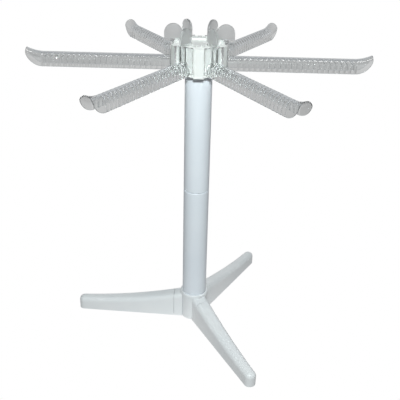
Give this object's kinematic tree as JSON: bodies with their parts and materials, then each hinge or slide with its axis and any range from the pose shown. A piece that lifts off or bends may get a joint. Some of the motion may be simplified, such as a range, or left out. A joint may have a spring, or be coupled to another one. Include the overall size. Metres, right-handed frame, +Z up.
{
  "type": "pasta drying rack",
  "caption": "Free-standing drying rack with clear grooved saddle arms around a turning slotted head, on a tube post with splayed plug-on legs.",
  "frame": {"origin": "on the floor, on the post's axis", "axes": "+Z up along the post, +X along the first arm; the left leg lies 2.5 degrees short of -X"},
  "size_m": [0.43, 0.3804, 0.436],
  "materials": {
    "clear_plastic": "clear moulded plastic, glossy",
    "head_plastic": "white moulded plastic with a faint cyan tint, glossy",
    "post_plastic": "pale bluish white plastic tube, satin",
    "base_plastic": "pale grey-white moulded plastic, satin",
    "plug_plastic": "grey moulded plastic, matt",
    "steel": "zinc-plated steel",
    "pad_rubber": "grey rubber, matt"
  },
  "bodies": {
    "base": {"base_hub": "base_plastic"},
    "lower_post": {"lower_post": "post_plastic", "post_joiner": "plug_plastic"},
    "upper_post": {"upper_post": "post_plastic"},
    "pivot": {"pivot_plug": "plug_plastic", "head_washer": "steel", "head_screw": "steel"},
    "head": {"head_hub": "head_plastic", "head_cap": "head_plastic"},
    "leg_1": {"leg_1": "base_plastic", "foot_pad_1": "pad_rubber"},
    "leg_2": {"leg_2": "base_plastic", "foot_pad_2": "pad_rubber"},
    "leg_3": {"leg_3": "base_plastic", "foot_pad_3": "pad_rubber"},
    "arm_1": {"arm_1": "clear_plastic"},
    "arm_2": {"arm_2": "clear_plastic"},
    "arm_3": {"arm_3": "clear_plastic"},
    "arm_4": {"arm_4": "clear_plastic"},
    "arm_5": {"arm_5": "clear_plastic"},
    "arm_6": {"arm_6": "clear_plastic"}
  },
  "joints": [
    {"name": "lower_post_lift", "type": "slide", "parent": "base", "child": "lower_post", "axis": [0, 0, 1], "range_m": [0, 0.038]},
    {"name": "upper_post_lift", "type": "slide", "parent": "lower_post", "child": "upper_post", "axis": [0, 0, 1], "range_m": [0, 0.035]},
    {"name": "head_lift", "type": "slide", "parent": "upper_post", "child": "pivot", "axis": [0, 0, 1], "range_m": [0, 0.025]},
    {"name": "head_turn", "type": "hinge", "parent": "pivot", "child": "head", "pos_m": [0, 0, 0.4024], "axis": [0, 0, 1], "continuous": true},
    {"name": "leg_1_pull", "type": "slide", "parent": "base", "child": "leg_1", "axis": [-0.999, 0.0436, 0], "range_m": [0, 0.017]},
    {"name": "leg_2_pull", "type": "slide", "parent": "base", "child": "leg_2", "axis": [0.4617, -0.887, 0], "range_m": [0, 0.017]},
    {"name": "leg_3_pull", "type": "slide", "parent": "base", "child": "leg_3", "axis": [0.5373, 0.8434, 0], "range_m": [0, 0.017]},
    {"name": "arm_1_lift", "type": "slide", "parent": "head", "child": "arm_1", "axis": [0, 0, 1], "range_m": [0, 0.034]},
    {"name": "arm_2_lift", "type": "slide", "parent": "head", "child": "arm_2", "axis": [0, 0, 1], "range_m": [0, 0.034]},
    {"name": "arm_3_lift", "type": "slide", "parent": "head", "child": "arm_3", "axis": [0, 0, 1], "range_m": [0, 0.034]},
    {"name": "arm_4_lift", "type": "slide", "parent": "head", "child": "arm_4", "axis": [0, 0, 1], "range_m": [0, 0.034]},
    {"name": "arm_5_lift", "type": "slide", "parent": "head", "child": "arm_5", "axis": [0, 0, 1], "range_m": [0, 0.034]},
    {"name": "arm_6_lift", "type": "slide", "parent": "head", "child": "arm_6", "axis": [0, 0, 1], "range_m": [0, 0.034]}
  ]
}
